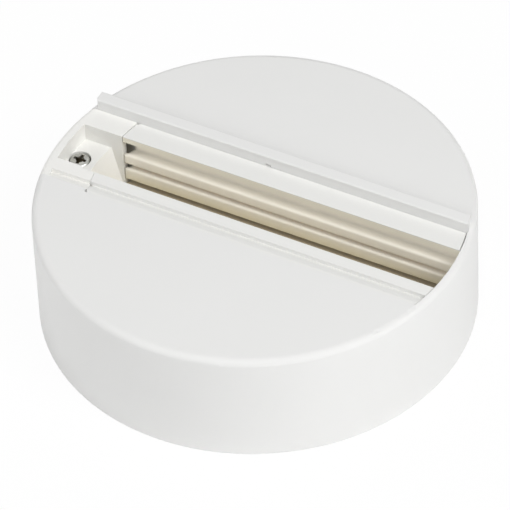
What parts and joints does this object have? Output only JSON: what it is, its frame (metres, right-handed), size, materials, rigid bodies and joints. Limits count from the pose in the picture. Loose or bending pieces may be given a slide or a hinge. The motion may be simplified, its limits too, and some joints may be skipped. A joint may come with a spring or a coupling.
{
  "type": "track ceiling canopy",
  "caption": "Round white surface canopy that fixes to a ceiling and holds a short powered track slot, so one track spotlight can be hung and fed without a full track run.",
  "frame": {"origin": "middle of the canopy on the ceiling face", "axes": "+X along the track slot, away from the cover screw; +Y across the slot towards the raised rail; +Z out of the ceiling face, towards the open slot"},
  "size_m": [0.13, 0.13, 0.0409],
  "materials": {
    "canopy_white": "moulded, very fine texture",
    "track_white": "powder coated, satin",
    "block_white": "moulded, satin",
    "insulator_ivory": "moulded, satin",
    "base_grey": "moulded, matt",
    "copper": "drawn copper, plain",
    "brass": "turned",
    "zinc_steel": "zinc plated",
    "terminal_ivory": "moulded, matt",
    "grommet_rubber": "soft, matt",
    "lead_brown": "satin",
    "lead_black": "satin",
    "lead_grey": "satin",
    "lead_blue": "satin",
    "lead_green_yellow": "satin"
  },
  "bodies": {
    "root": {"canopy_cover": "canopy_white", "base_plate": "base_grey", "track_body": "track_white", "end_block": "block_white", "insulator_rear": "insulator_ivory", "insulator_front": "insulator_ivory", "conductor_l1": "copper", "conductor_l2": "copper", "conductor_l3": "copper", "conductor_n": "copper", "earth_strip": "zinc_steel", "feed_tabs": "brass", "cover_screw": "zinc_steel", "screw_insert": "brass", "track_screws": "zinc_steel", "terminal_block": "terminal_ivory", "terminal_clamps": "brass", "terminal_screws": "zinc_steel", "block_screws": "zinc_steel", "cable_clamp": "base_grey", "clamp_screws": "zinc_steel", "cable_grommet": "grommet_rubber", "lead_l1": "lead_brown", "lead_l2": "lead_black", "lead_l3": "lead_grey", "lead_n": "lead_blue", "lead_earth": "lead_green_yellow"}
  },
  "joints": []
}
